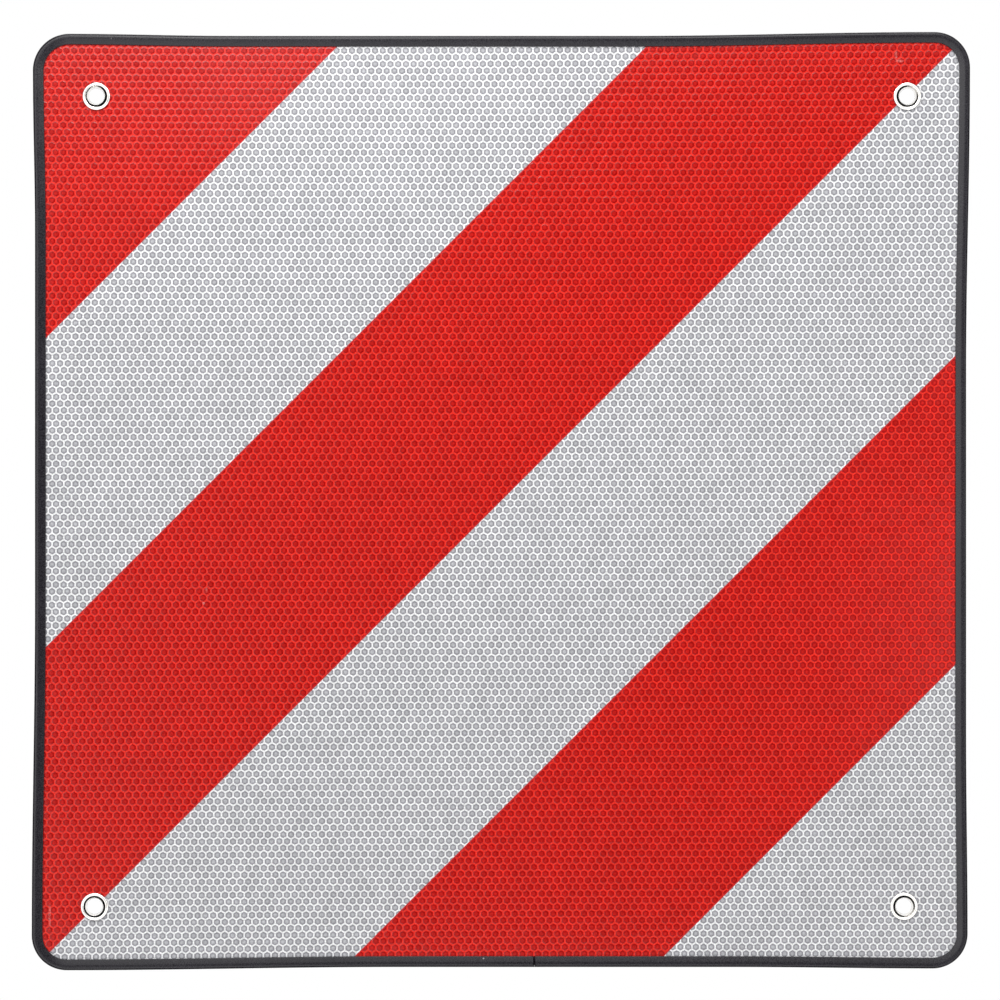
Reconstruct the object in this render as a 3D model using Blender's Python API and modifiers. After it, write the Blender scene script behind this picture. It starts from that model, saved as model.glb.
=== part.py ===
"""Overhanging load sign: a square aluminium panel with red and white striped honeycomb sheeting.

The sign is modelled lying on its back, face up: X runs to the right across its face, Y runs up it,
and Z comes out of it towards the viewer. An empty then stands it up, so that in the world its face
looks along -Y and its top is at +Z. The origin is at the middle of the square of four eyelets, on
the panel's bare rear face. All sizes are in metres.
"""

import math

import bmesh
import bpy
from mathutils import Vector

# Panel
PANEL_SIDE = 0.500
PANEL_THICKNESS = 0.0010
PANEL_CORNER_RADIUS = 0.016

# Sheeting and overlay, both stuck on, with the glue line left as a gap
SHEETING_THICKNESS = 0.0004
OVERLAY_THICKNESS = 0.0001
GLUE_LINE = 0.0001
FILM_MARGIN = 0.0005
STRIPE_ALONG_EDGE = 0.16667

# Edge trim, a U-section pushed onto the panel's edge
TRIM_COVER = 0.0048
TRIM_BACK = 0.0008
TRIM_LEG = 0.0014
TRIM_LIP = 0.0008
TRIM_SLOT_RELIEF = 0.0002
TRIM_FLAT = 0.0012
TRIM_ROUNDING = 0.0016
TRIM_JOINT_X = 0.018
TRIM_JOINT_GAP = 0.0004

# The stiff trim stands off the panel at each corner, and comes back to it over this length of side
TRIM_LIFT = {
    "bottom_left": 0.00175,
    "bottom_right": 0.0008,
    "top_right": 0.0021,
    "top_left": 0.00115,
}
TRIM_LIFT_REACH = {
    "bottom_left": 0.180,
    "bottom_right": 0.110,
    "top_right": 0.165,
    "top_left": 0.090,
}

# How much wider than the panel's own corner the trim bends, apart from its stand-off
TRIM_BEND_EASE = {
    "bottom_left": 0.0,
    "bottom_right": 0.0010,
    "top_right": 0.0,
    "top_left": 0.0016,
}

# Eyelets and their washers
EYELET_INSET = 0.0315
EYELET_OFFSET = {
    "bottom_left": (-0.0004, 0.0),
    "bottom_right": (-0.0010, 0.0002),
    "top_right": (0.0008, -0.0001),
    "top_left": (0.0006, -0.0001),
}
EYELET_FLANGE_D = 0.0148
EYELET_CROWN_D = 0.0132
EYELET_CROWN_HEIGHT = 0.0013
EYELET_MOUTH_D = 0.0104
EYELET_THROAT_D = 0.0082
EYELET_WALL = 0.00035
EYELET_CURL_RADIUS = 0.0005
WASHER_D = 0.0150
WASHER_THICKNESS = 0.0004
WASHER_CHAMFER = 0.0003

# Clearance wherever two pieces seat on each other
SEAT_GAP = 0.0003

# How finely round forms are cut
CORNER_SEGMENTS = 8
LIFT_SEGMENTS = 6
ROUND_SEGMENTS = 4
CURL_SEGMENTS = 6
TURN_STEPS = 32

# Heights above the panel's rear face
PANEL_FRONT = PANEL_THICKNESS
SHEETING_BACK = PANEL_FRONT + GLUE_LINE
SHEETING_FRONT = SHEETING_BACK + SHEETING_THICKNESS
OVERLAY_BACK = SHEETING_FRONT + GLUE_LINE
FACE = OVERLAY_BACK + OVERLAY_THICKNESS

# The four corners, anticlockwise from where the bottom side starts
CORNERS = {
    "bottom_left": (-1, -1),
    "bottom_right": (1, -1),
    "top_right": (1, 1),
    "top_left": (-1, 1),
}


def clear_scene():
    for obj in list(bpy.data.objects):
        bpy.data.objects.remove(obj, do_unlink=True)


def new_collection(name):
    collection = bpy.data.collections.new(name)
    bpy.context.scene.collection.children.link(collection)
    return collection


def new_material(name, colour, roughness, metallic):
    material = bpy.data.materials.new(name)
    material.use_nodes = True
    shader = material.node_tree.nodes["Principled BSDF"]
    shader.inputs["Base Color"].default_value = (*colour, 1.0)
    shader.inputs["Roughness"].default_value = roughness
    shader.inputs["Metallic"].default_value = metallic
    return material


def add_object(name, data, collection, stand, material=None):
    """An object in the sign's lying frame, which the empty stands up."""
    obj = bpy.data.objects.new(name, data)
    collection.objects.link(obj)
    obj.parent = stand
    if material:
        data.materials.append(material)
    return obj


def mesh_from(bm, name):
    mesh = bpy.data.meshes.new(name)
    bm.to_mesh(mesh)
    bm.free()
    return mesh


def box_mesh(name, size, middle):
    bm = bmesh.new()
    bmesh.ops.create_cube(bm, size=1.0)
    bmesh.ops.scale(bm, vec=Vector(size), verts=bm.verts)
    bmesh.ops.translate(bm, vec=Vector(middle), verts=bm.verts)
    return mesh_from(bm, name)


def plate_mesh(name, side, radius, bottom, top):
    """A square plate with its four upright edges rounded."""
    bm = bmesh.new()
    bmesh.ops.create_cube(bm, size=1.0)
    bmesh.ops.scale(bm, vec=Vector((side, side, top - bottom)), verts=bm.verts)
    bmesh.ops.translate(bm, vec=Vector((0, 0, (bottom + top) / 2)), verts=bm.verts)
    upright = [edge for edge in bm.edges if is_upright(edge)]
    bmesh.ops.bevel(bm, geom=upright, offset=radius, segments=CORNER_SEGMENTS, profile=0.5, affect="EDGES")
    return mesh_from(bm, name)


def is_upright(edge):
    start, end = (vert.co for vert in edge.verts)
    return math.hypot(end.x - start.x, end.y - start.y) < abs(end.z - start.z)


def eyelet_centre(corner):
    """Where an eyelet was punched: its place in the square of four, and how far it missed it."""
    across, up = CORNERS[corner]
    reach = PANEL_SIDE / 2 - EYELET_INSET
    offset = EYELET_OFFSET[corner]
    return Vector((across * reach + offset[0], up * reach + offset[1], 0))


def hide_cutter(obj):
    obj.hide_render = True
    obj.display_type = "WIRE"


def add_boolean(obj, cutter, operation):
    modifier = obj.modifiers.new(f"{operation.lower()}_{cutter.name}", "BOOLEAN")
    modifier.operation = operation
    modifier.solver = "EXACT"
    modifier.object = cutter


def make_hole_punch(collection, stand):
    """Four round punches, one for each eyelet, that pass through the panel and everything stuck to it."""
    radius = EYELET_MOUTH_D / 2 + EYELET_WALL + SEAT_GAP
    bm = bmesh.new()
    for corner in CORNERS:
        made = bmesh.ops.create_cone(
            bm, cap_ends=True, segments=TURN_STEPS, radius1=radius, radius2=radius, depth=4 * FACE
        )
        middle = eyelet_centre(corner) + Vector((0, 0, FACE / 2))
        bmesh.ops.translate(bm, vec=middle, verts=made["verts"])
    punch = add_object("hole_punch", mesh_from(bm, "hole_punch"), collection, stand)
    hide_cutter(punch)
    return punch


def make_panel(collection, stand, punch):
    mesh = plate_mesh("panel", PANEL_SIDE, PANEL_CORNER_RADIUS, 0, PANEL_FRONT)
    material = new_material("bare_aluminium", (0.62, 0.63, 0.64), 0.38, 1.0)
    panel = add_object("panel", mesh, collection, stand, material)
    add_boolean(panel, punch, "DIFFERENCE")


def film_mesh(name, bottom, top):
    side = PANEL_SIDE - 2 * FILM_MARGIN
    return plate_mesh(name, side, PANEL_CORNER_RADIUS - FILM_MARGIN, bottom, top)


def make_sheeting(collection, stand, punch):
    mesh = film_mesh("honeycomb_sheeting", SHEETING_BACK, SHEETING_FRONT)
    material = new_material("white_reflective_sheeting", (0.56, 0.57, 0.60), 0.25, 0.0)
    sheeting = add_object("honeycomb_sheeting", mesh, collection, stand, material)
    add_boolean(sheeting, punch, "DIFFERENCE")


def red_field_edges():
    """Each red field's two edges, as distances from the diagonal that runs from bottom left to top right.

    A positive distance is towards the bottom right corner. The white fields lie between the red
    ones, and a corner's field takes what the bands leave of it.
    """
    width = STRIPE_ALONG_EDGE / math.sqrt(2)
    corner = PANEL_SIDE / math.sqrt(2)
    return {
        "red_corner": (-corner, -2 * width),
        "red_centre_band": (-width, 0),
        "red_lower_band": (width, 2 * width),
    }


def make_red_fields(collection, cutters, stand, punch):
    """Clear red overlay, each field cut out of a film the size of the sheeting."""
    material = new_material("red_overlay", (0.55, 0.012, 0.012), 0.25, 0.0)
    length = 2 * PANEL_SIDE
    for name, (near, far) in red_field_edges().items():
        window_name = f"{name}_window"
        mesh = box_mesh(window_name, (far - near, length, 4 * FACE), ((near + far) / 2, 0, FACE))
        window = add_object(window_name, mesh, cutters, stand)
        window.rotation_euler.z = -math.pi / 4
        hide_cutter(window)

        field = add_object(name, film_mesh(name, OVERLAY_BACK, FACE), collection, stand, material)
        add_boolean(field, window, "INTERSECT")
        add_boolean(field, punch, "DIFFERENCE")


def arc(centre, radii, start_deg, end_deg, segments):
    """Points on an ellipse's arc, both ends included."""
    points = []
    for step in range(segments + 1):
        angle = math.radians(start_deg + (end_deg - start_deg) * step / segments)
        points.append((centre[0] + radii[0] * math.cos(angle), centre[1] + radii[1] * math.sin(angle)))
    return points


def trim_section():
    """The U-section: X is outwards from the panel's edge, and Y is forwards from the middle of the stack.

    Each leg is thickest in a narrow flat beside the rounded back, and thins towards its lip. The slot
    is a little wider at its root, so that only the lips grip.
    """
    slot = FACE / 2 + SEAT_GAP
    crown = slot + TRIM_LEG
    back = SEAT_GAP + TRIM_BACK
    nose = TRIM_LIP / 2
    front = arc((nose - TRIM_COVER, slot + nose), (nose, nose), 270, 90, ROUND_SEGMENTS)
    front.append((back - TRIM_ROUNDING - TRIM_FLAT, crown))
    rounding = (TRIM_ROUNDING, TRIM_ROUNDING)
    front += arc((back - TRIM_ROUNDING, crown - TRIM_ROUNDING), rounding, 90, 0, ROUND_SEGMENTS)
    rear = [(across, -forwards) for across, forwards in reversed(front)]
    root = slot + TRIM_SLOT_RELIEF
    return front + rear + [(SEAT_GAP, -root), (SEAT_GAP, root)]


def corners_of(quarter):
    """The two corners at the ends of a side, where quarter counts the sides from the bottom one."""
    return [list(CORNERS)[n % 4] for n in (quarter, quarter + 1)]


def lift_beside(corner, distance):
    """How far the trim stands off the panel's edge, at a distance along a side from its corner."""
    share = min(distance / TRIM_LIFT_REACH[corner], 1)
    return TRIM_LIFT[corner] * (1 + math.cos(math.pi * share)) / 2


def bend_start(corner):
    """Where the trim starts to bend, as a distance along a side from its middle."""
    return PANEL_SIDE / 2 - PANEL_CORNER_RADIUS - TRIM_BEND_EASE[corner]


def side_points(quarter, first, last):
    """The trim's path beside one side, where quarter counts the sides from the bottom one.

    It runs from first to last, both distances along the side from its middle.
    """
    corner, next_corner = corners_of(quarter)
    run = PANEL_SIDE / 2 - PANEL_CORNER_RADIUS
    shares = [step / LIFT_SEGMENTS for step in range(LIFT_SEGMENTS + 1)]
    stations = [share * TRIM_LIFT_REACH[corner] - run for share in shares]
    stations += [run - share * TRIM_LIFT_REACH[next_corner] for share in shares]
    inner = sorted(along for along in stations if first < along < last)

    turn = quarter * math.pi / 2
    along_side = Vector((math.cos(turn), math.sin(turn)))
    outwards = Vector((math.sin(turn), -math.cos(turn)))
    points = []
    for along in [first, *inner, last]:
        lift = lift_beside(corner, along + run) + lift_beside(next_corner, run - along)
        points.append(outwards * (PANEL_SIDE / 2 + lift) + along_side * along)
    return points


def corner_points(quarter):
    """The path round the corner that follows a side, without the points at the two sides' ends."""
    corner = corners_of(quarter)[1]
    radius = PANEL_CORNER_RADIUS + TRIM_LIFT[corner] + TRIM_BEND_EASE[corner]
    centre = [sign * bend_start(corner) for sign in CORNERS[corner]]
    start = 90 * quarter - 90
    points = arc(centre, (radius, radius), start, start + 90, CORNER_SEGMENTS)
    return [Vector(point) for point in points[1:-1]]


def trim_path():
    """The panel's edge with the corners' stand-off, from one end of the trim round to the other."""
    path = side_points(0, TRIM_JOINT_X + TRIM_JOINT_GAP / 2, bend_start("bottom_right")) + corner_points(0)
    for quarter in (1, 2, 3):
        corner, next_corner = corners_of(quarter)
        path += side_points(quarter, -bend_start(corner), bend_start(next_corner)) + corner_points(quarter)
    return path + side_points(0, -bend_start("bottom_left"), TRIM_JOINT_X - TRIM_JOINT_GAP / 2)


def poly_curve(name, points, closed):
    curve = bpy.data.curves.new(name, "CURVE")
    curve.dimensions = "2D"
    curve.fill_mode = "NONE"
    spline = curve.splines.new("POLY")
    spline.points.add(len(points) - 1)
    for place, point in zip(spline.points, points):
        place.co = (point[0], point[1], 0, 1)
    spline.use_cyclic_u = closed
    return curve


def make_edge_trim(collection, cutters, stand):
    """One length of U-section swept round the panel, its ends butted at the bottom."""
    guide = add_object("trim_section", poly_curve("trim_section", trim_section(), True), cutters, stand)
    hide_cutter(guide)
    curve = poly_curve("edge_trim", trim_path(), False)
    curve.bevel_mode = "OBJECT"
    curve.bevel_object = guide
    curve.use_fill_caps = True
    material = new_material("black_edging", (0.035, 0.035, 0.040), 0.45, 0.0)
    trim = add_object("edge_trim", curve, collection, stand, material)
    trim.location.z = FACE / 2


def turned_mesh(name, outline):
    """A closed outline in the XZ plane, at +X, for a Screw modifier to turn about Z."""
    mesh = bpy.data.meshes.new(name)
    edges = [(n, (n + 1) % len(outline)) for n in range(len(outline))]
    mesh.from_pydata([(radius, 0, height) for radius, height in outline], edges, [])
    return mesh


def add_turning(obj):
    screw = obj.modifiers.new("turn", "SCREW")
    screw.axis = "Z"
    screw.angle = 2 * math.pi
    screw.steps = TURN_STEPS
    screw.render_steps = TURN_STEPS
    screw.use_merge_vertices = True
    screw.merge_threshold = 0.00001
    screw.use_smooth_shade = True


def barrel_radius(height):
    """The tapered barrel's outer radius at a height above the panel's rear face."""
    mouth_height = FACE + SEAT_GAP
    end_height = -2 * SEAT_GAP - WASHER_THICKNESS
    share = (mouth_height - height) / (mouth_height - end_height)
    taper = (EYELET_MOUTH_D - EYELET_THROAT_D) / 2
    return EYELET_MOUTH_D / 2 + EYELET_WALL - taper * share


def eyelet_midline():
    """The middle of the eyelet's wall, from the flange's rim, over its crown, to the tip of the rear curl."""
    half = EYELET_WALL / 2
    seat = FACE + SEAT_GAP
    crown_radius = EYELET_CROWN_D / 2
    rim_reach = EYELET_FLANGE_D / 2 - half - crown_radius
    crown_rise = EYELET_CROWN_HEIGHT - EYELET_WALL
    line = arc((crown_radius, seat + half), (rim_reach, crown_rise), 0, 90, ROUND_SEGMENTS)

    curl_height = -2 * SEAT_GAP - WASHER_THICKNESS
    taper = math.degrees(math.atan2(EYELET_MOUTH_D - EYELET_THROAT_D, 2 * (seat - curl_height)))
    mouth = (crown_radius - EYELET_MOUTH_D / 2 - half, crown_rise + half)
    line += arc((crown_radius, seat), mouth, 90, 180 - taper, ROUND_SEGMENTS)[1:]

    curl_middle = EYELET_THROAT_D / 2 + half + EYELET_CURL_RADIUS
    curl = (EYELET_CURL_RADIUS, EYELET_CURL_RADIUS)
    return line + arc((curl_middle, curl_height), curl, 180, 360, CURL_SEGMENTS)


def thickened(line, thickness):
    """A closed outline round an open line, with half the thickness on each side."""
    left, right = [], []
    for n, (x, y) in enumerate(line):
        before = Vector(line[max(n - 1, 0)])
        after = Vector(line[min(n + 1, len(line) - 1)])
        across = (after - before).normalized().orthogonal() * thickness / 2
        left.append((x + across.x, y + across.y))
        right.append((x - across.x, y - across.y))
    return left + right[::-1]


def make_eyelets(collection, stand):
    mesh = turned_mesh("eyelet", thickened(eyelet_midline(), EYELET_WALL))
    mesh.materials.append(new_material("nickel_plate", (0.78, 0.77, 0.74), 0.12, 1.0))
    for corner in CORNERS:
        eyelet = add_object(f"eyelet_{corner}", mesh, collection, stand)
        eyelet.location = eyelet_centre(corner)
        add_turning(eyelet)


def make_washers(collection, stand):
    """A plain washer behind the panel at each eyelet, its outer edge chamfered to the rear."""
    panel_side = -SEAT_GAP
    rear_side = panel_side - WASHER_THICKNESS
    outer = WASHER_D / 2
    bore = barrel_radius(panel_side) + SEAT_GAP
    outline = [
        (outer, panel_side),
        (outer, rear_side + WASHER_CHAMFER),
        (outer - WASHER_CHAMFER, rear_side),
        (bore, rear_side),
        (bore, panel_side),
    ]
    mesh = turned_mesh("washer", outline)
    mesh.materials.append(new_material("nickel_washer", (0.70, 0.69, 0.66), 0.22, 1.0))
    for corner in CORNERS:
        washer = add_object(f"washer_{corner}", mesh, collection, stand)
        washer.location = eyelet_centre(corner)
        add_turning(washer)


def main():
    clear_scene()
    sign = new_collection("overhanging_load_sign")
    cutters = new_collection("cutters")
    stand = bpy.data.objects.new("stand_up", None)
    sign.objects.link(stand)
    stand.rotation_euler.x = math.pi / 2

    punch = make_hole_punch(cutters, stand)
    make_panel(sign, stand, punch)
    make_sheeting(sign, stand, punch)
    make_red_fields(sign, cutters, stand, punch)
    make_edge_trim(sign, cutters, stand)
    make_eyelets(sign, stand)
    make_washers(sign, stand)


main()
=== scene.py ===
# %% [markdown]
# # A striped warning sign for an overhanging load
#
# This notebook dresses the measured model of a warning sign: a thin square aluminium panel, faced with
# honeycomb reflective sheeting in red and white stripes, with a black plastic trim round its edge and a
# nickel-plated eyelet in each corner. The measured model says where everything is, and we add what the
# eye sees: the embossed cells, the soft plastic, the bright metal, and the light that shows them.
#
# Everything is in metres. X runs to the right, Z runs up, and the sign's face looks along -Y.

# %% Load the measured model
import math

import bmesh
import bpy
import numpy as np
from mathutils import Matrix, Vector


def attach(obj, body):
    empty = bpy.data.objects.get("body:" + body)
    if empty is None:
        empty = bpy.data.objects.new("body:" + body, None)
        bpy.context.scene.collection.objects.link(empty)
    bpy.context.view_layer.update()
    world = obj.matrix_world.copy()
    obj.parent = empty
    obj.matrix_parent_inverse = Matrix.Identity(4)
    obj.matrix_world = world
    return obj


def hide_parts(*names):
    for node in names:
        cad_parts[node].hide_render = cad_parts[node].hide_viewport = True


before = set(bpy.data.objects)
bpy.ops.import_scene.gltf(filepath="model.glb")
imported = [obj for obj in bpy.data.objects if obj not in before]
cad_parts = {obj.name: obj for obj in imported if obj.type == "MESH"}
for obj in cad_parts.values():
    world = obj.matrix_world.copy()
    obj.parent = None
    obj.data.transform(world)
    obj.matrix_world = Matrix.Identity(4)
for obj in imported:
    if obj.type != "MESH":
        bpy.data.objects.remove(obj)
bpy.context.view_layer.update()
print("nodes:", ", ".join(sorted(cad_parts)))

# %% [markdown]
# ## The camera
#
# The sign is seen squarely from the front, by a long lens. A long lens a few metres away keeps the
# square square and hides the thickness of the trim. The picture is a square, so the width of the scene
# that it takes in, at the distance of the sign's face, sets the lens: lens / sensor = distance / width.

# %% Camera
MM = 0.001
PICTURE_WIDTH = 0.5397  # of the plane of the sign's face
CAMERA_DISTANCE = 2.4
SENSOR_WIDTH = 36.0  # in millimetres, as the lens is
SIGHT = Vector((-0.30 * MM, 0, 0.76 * MM))  # the point of the face in the middle of the picture

camera_data = bpy.data.cameras.new("camera")
camera_data.sensor_width = SENSOR_WIDTH
camera_data.lens = SENSOR_WIDTH * CAMERA_DISTANCE / PICTURE_WIDTH
camera_data.clip_end = 100  # metres, well beyond the floor
camera = bpy.data.objects.new("camera", camera_data)
camera.location = SIGHT + Vector((0, -CAMERA_DISTANCE, 0))
camera.rotation_euler = (math.radians(90), 0, 0)
bpy.context.scene.collection.objects.link(camera)
bpy.context.scene.camera = camera
bpy.context.scene.view_settings.view_transform = "Standard"
print("lens:", round(camera_data.lens, 1), "mm")

# %% [markdown]
# ## Tools for the finishes
#
# A few small functions serve every finish. The first turns a colour as it is written on screen, such as
# `#c81414`, into the linear values that light is added up in. Two more add one node, set it, and link
# it, so that a material reads as a list of what it does.

# %% Colour and node helpers
def paint(hex_code):
    """A colour written as sRGB hex, in the linear values that shaders use."""
    shares = [int(hex_code[n : n + 2], 16) / 255 for n in (1, 3, 5)]
    return (*[s / 12.92 if s <= 0.04045 else ((s + 0.055) / 1.055) ** 2.4 for s in shares], 1.0)


def feed(tree, node, inputs):
    """Fills a node's own inputs. A number or a colour is set there, and a socket is linked."""
    for name, value in inputs.items():
        if isinstance(value, bpy.types.NodeSocket):
            tree.links.new(value, node.inputs[name])
        else:
            node.inputs[name].default_value = value


def add_node(tree, kind, inputs=None, **settings):
    """Adds a node. Settings are its own properties; inputs are numbers, colours or sockets to link."""
    node = tree.nodes.new(kind)
    for name, value in settings.items():
        setattr(node, name, value)
    feed(tree, node, inputs or {})
    return node


def new_finish(name):
    """An empty material, its tree, its shader, and a socket with the place that is being shaded."""
    finish = bpy.data.materials.new(name)
    finish.use_nodes = True
    tree = finish.node_tree
    place = add_node(tree, "ShaderNodeTexCoord").outputs["Object"]
    return finish, tree, tree.nodes["Principled BSDF"], place


print("white at half brightness is", [round(value, 3) for value in paint("#808080")[:3]])

# %% [markdown]
# ## The honeycomb cells
#
# Reflective sheeting of this kind is a sandwich. Tiny glass beads or prisms lie on a backing, with a
# layer of air over them, and a clear acrylic film covers it all. The film is pressed down to the
# backing along a net of seams, which leaves sealed honeycomb cells about four millimetres across.
# In plain light the cells look grey, since they send most light back to where it came from, and the
# solid seams look white. A red overlay colours both.
#
# Here each cell is real relief and not a picture of one, because a lamp's reflection breaks up on the
# pressed seams, and that makes the surface look embossed. Each cell is a nearly flat top, a short
# slope, and its half of the shallow seam valley.

# %% Sizes of the honeycomb
CELL_PITCH = 4.153 * MM  # from one cell to the next along a row
ROW_PITCH = 3.638 * MM
CELL_ORIGIN = (-0.86 * MM, 2.19 * MM)  # the middle of one cell
SEAM_WIDTH = 0.94 * MM
SLOPE_WIDTH = 0.30 * MM
SLOPE_DROP = 0.045 * MM
SEAM_DROP = 0.022 * MM
CELL_CROWN = 0.006 * MM  # how much the film bulges over a cell's air
CROWN_SPREAD = 0.5  # how much that differs at random, as a share of it
CELL_TILT = 0.0045  # how far a cell's top leans at random, as a slope
TOP_RIM = 0.75  # how far the edge of a cell's top is on the way from its middle, 0, to its rim, 1
PANEL_SIDE = 0.500
FILM_HALF = PANEL_SIDE / 2 - 0.5 * MM
FILM_CORNER_RADIUS = 15.5 * MM
CORNER_FACETS = 10
rng = np.random.default_rng(20)  # the same random cells each time
print("cells across the sign:", round(2 * FILM_HALF / CELL_PITCH))

# %% [markdown]
# ## The net strays a little
#
# A heated roll presses the net, and not quite regularly: towards the sign's corners its rows wander by
# up to three millimetres, which shows where they meet the trim. A few powers of a point's place,
# counted in half panels, say how far it strays, with one slow wave for each turn of the roll. A corner
# of the net strays by its own place alone, so that cells that share it go on sharing it.

# %% How far the net strays
STRAY_X = {  # in mm, for each power of the place across and power of the place up
    (1, 0): -0.79, (0, 1): -0.27, (1, 1): -0.15, (0, 2): -0.11,
    (3, 0): 0.94, (2, 1): 0.73, (1, 2): 1.17,
}
STRAY_Z = {
    (1, 0): 0.19, (0, 1): -0.84, (0, 2): 0.82,
    (0, 3): 0.90, (2, 1): 0.96, (1, 2): 0.76,
}
ROLL_TURN = 240 * MM
ROLL_SWAY = 0.38 * MM
ROLL_START = math.radians(47)


def strayed(x, z):
    """Where a point of the regular net really lies."""
    across, up = 2 * x / PANEL_SIDE, 2 * z / PANEL_SIDE
    sway = ROLL_SWAY * math.cos(2 * math.pi * z / ROLL_TURN + ROLL_START)
    more_x = sum(share * across**i * up**j for (i, j), share in STRAY_X.items()) * MM
    more_z = sum(share * across**i * up**j for (i, j), share in STRAY_Z.items()) * MM
    return x + more_x, z + more_z + sway


side = PANEL_SIDE / 2
moved = [round((there - side) / MM, 2) for there in strayed(side, side)]
print("strayed at the top right corner, in mm:", moved)

# %% [markdown]
# ## Where each colour goes
#
# The stripes are diagonal, so each field is bounded by one or two 45-degree lines and by the film's
# own rounded outline. All of these shapes are convex, which keeps the cutting simple: a field is what
# lies inside a list of straight lines, each given by its outward direction and its reach.

# %% Outlines of the fields
STRIPE_ALONG_EDGE = 166.67 * MM
STRIPE = STRIPE_ALONG_EDGE / math.sqrt(2)
DIAGONAL = (1 / math.sqrt(2), -1 / math.sqrt(2))  # from the top left corner to the bottom right


def film_outline():
    """The rounded square of the film, as (outward x, outward z, reach) lines."""
    lines = [(1, 0, FILM_HALF), (0, 1, FILM_HALF), (-1, 0, FILM_HALF), (0, -1, FILM_HALF)]
    centre = FILM_HALF - FILM_CORNER_RADIUS
    for quarter in range(4):
        for step in range(CORNER_FACETS):
            angle = math.radians(90 * (quarter + (step + 0.5) / CORNER_FACETS))
            x, z = math.cos(angle), math.sin(angle)
            lines.append((x, z, centre * (abs(x) + abs(z)) + FILM_CORNER_RADIUS))
    return lines


def stripe_lines(near, far):
    """The two diagonal edges of a field that runs from near to far, counted in stripes."""
    x, z = DIAGONAL
    return [(-x, -z, -near * STRIPE), (x, z, far * STRIPE)]


print("lines round the film:", len(film_outline()))

# %% [markdown]
# ## Cutting and building a field
#
# Most cells lie wholly inside a field and stay whole. A cell on an edge is cut line by line: walk
# round the polygon, keep the corners inside, and add a new corner wherever an edge crosses the line.
# An eyelet's hole is cut in the same way, by the distance from its middle. Two cells that share an
# edge find the same new corner on it, and so no gap opens between them.

# %% Cutting polygons
HOLE_RADIUS = 6.2 * MM  # hidden under the flange
eyelets = {
    "bottom_left": (-218.9 * MM, -218.5 * MM),
    "bottom_right": (217.5 * MM, -218.3 * MM),
    "top_right": (219.3 * MM, 218.4 * MM),
    "top_left": (-217.9 * MM, 218.4 * MM),
}


def beyond(line, corner):
    """How far a corner lies outside a line. It is negative inside."""
    return line[0] * corner[0] + line[1] * corner[1] - line[2]


def within(hole, corner):
    """How far a corner lies inside an eyelet's hole. It is negative outside."""
    return HOLE_RADIUS - math.dist(hole, corner[:2])


def clipped(polygon, limits, measure=beyond):
    """The part of a polygon on the near side of every limit. Its corners are (x, z, height) and more."""
    for limit in limits:
        kept = []
        for here, after in zip(polygon, polygon[1:] + polygon[:1]):
            this, following = measure(limit, here), measure(limit, after)
            if this <= 0:
                kept.append(here)
            if this * following < 0:
                share = this / (this - following)
                kept.append(tuple(a + (b - a) * share for a, b in zip(here, after)))
        polygon = kept
        if len(polygon) < 3:
            return []
    return polygon


print("eyelets at", [(round(1000 * x, 1), round(1000 * z, 1)) for x, z in eyelets.values()])

# %% One cell
CELL, SEAM, CUT_EDGE = range(3)  # the three finishes of a field, as material slots


def hexagon(shrink):
    """The six corners of a cell, drawn in from the seam's middle by a width."""
    share = 1 - 2 * shrink / CELL_PITCH
    tip, shoulder, side = 2 / 3 * ROW_PITCH, ROW_PITCH / 3, CELL_PITCH / 2
    left = [(0, tip), (-side, shoulder), (-side, -shoulder)]
    right = [(0, -tip), (side, -shoulder), (side, shoulder)]
    return [(share * x, share * z) for x, z in left + right]


seam_ring = hexagon(0)
rim_ring = hexagon(SEAM_WIDTH / 2)
top_ring = hexagon(SEAM_WIDTH / 2 + SLOPE_WIDTH)


def cell_faces(middle):
    """The faces of one cell as (finish, corners), each corner (x, z, height, rim, tint).

    The middle is the one in the regular net, and the corners are where they have strayed to.
    """
    lean = rng.normal(0, CELL_TILT, 2)
    tint = rng.random()
    crown = CELL_CROWN * rng.normal(1, CROWN_SPREAD)

    def ring(corners, height, rim, leaning=0):
        placed = []
        for x, z in corners:
            rise = leaning * (lean[0] * x + lean[1] * z)
            placed.append((*strayed(middle[0] + x, middle[1] + z), height + rise, rim, tint))
        return placed

    top_height = SEAM_DROP + SLOPE_DROP
    seam = ring(seam_ring, 0.0, 1.0)
    rim = ring(rim_ring, SEAM_DROP, 1.0)
    top = ring(top_ring, top_height, TOP_RIM, 1)
    centre = (*strayed(*middle), top_height + crown, 0.0, tint)
    faces = []
    for n in range(6):
        m = (n + 1) % 6
        faces.append((CELL, [centre, top[n], top[m]]))
        faces.append((CELL, [top[n], rim[n], rim[m], top[m]]))
        faces.append((SEAM, [rim[n], seam[n], seam[m], rim[m]]))
    return faces


print("faces in a cell:", len(cell_faces((0, 0))))

# %% Every cell of a field
CELL_REACH = 2.7 * MM  # no corner of a cell is further from its middle
CUT_EDGE_WIDTH = 0.7 * MM


def cell_middles():
    """The middles of all cells of the regular net that may touch the film, row by row."""
    rows = int(FILM_HALF / ROW_PITCH) + 3
    columns = int(FILM_HALF / CELL_PITCH) + 3
    for row in range(-rows, rows + 1):
        shift = CELL_PITCH / 2 * (row % 2)
        for column in range(-columns, columns + 1):
            yield (CELL_ORIGIN[0] + column * CELL_PITCH + shift, CELL_ORIGIN[1] + row * ROW_PITCH)


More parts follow.
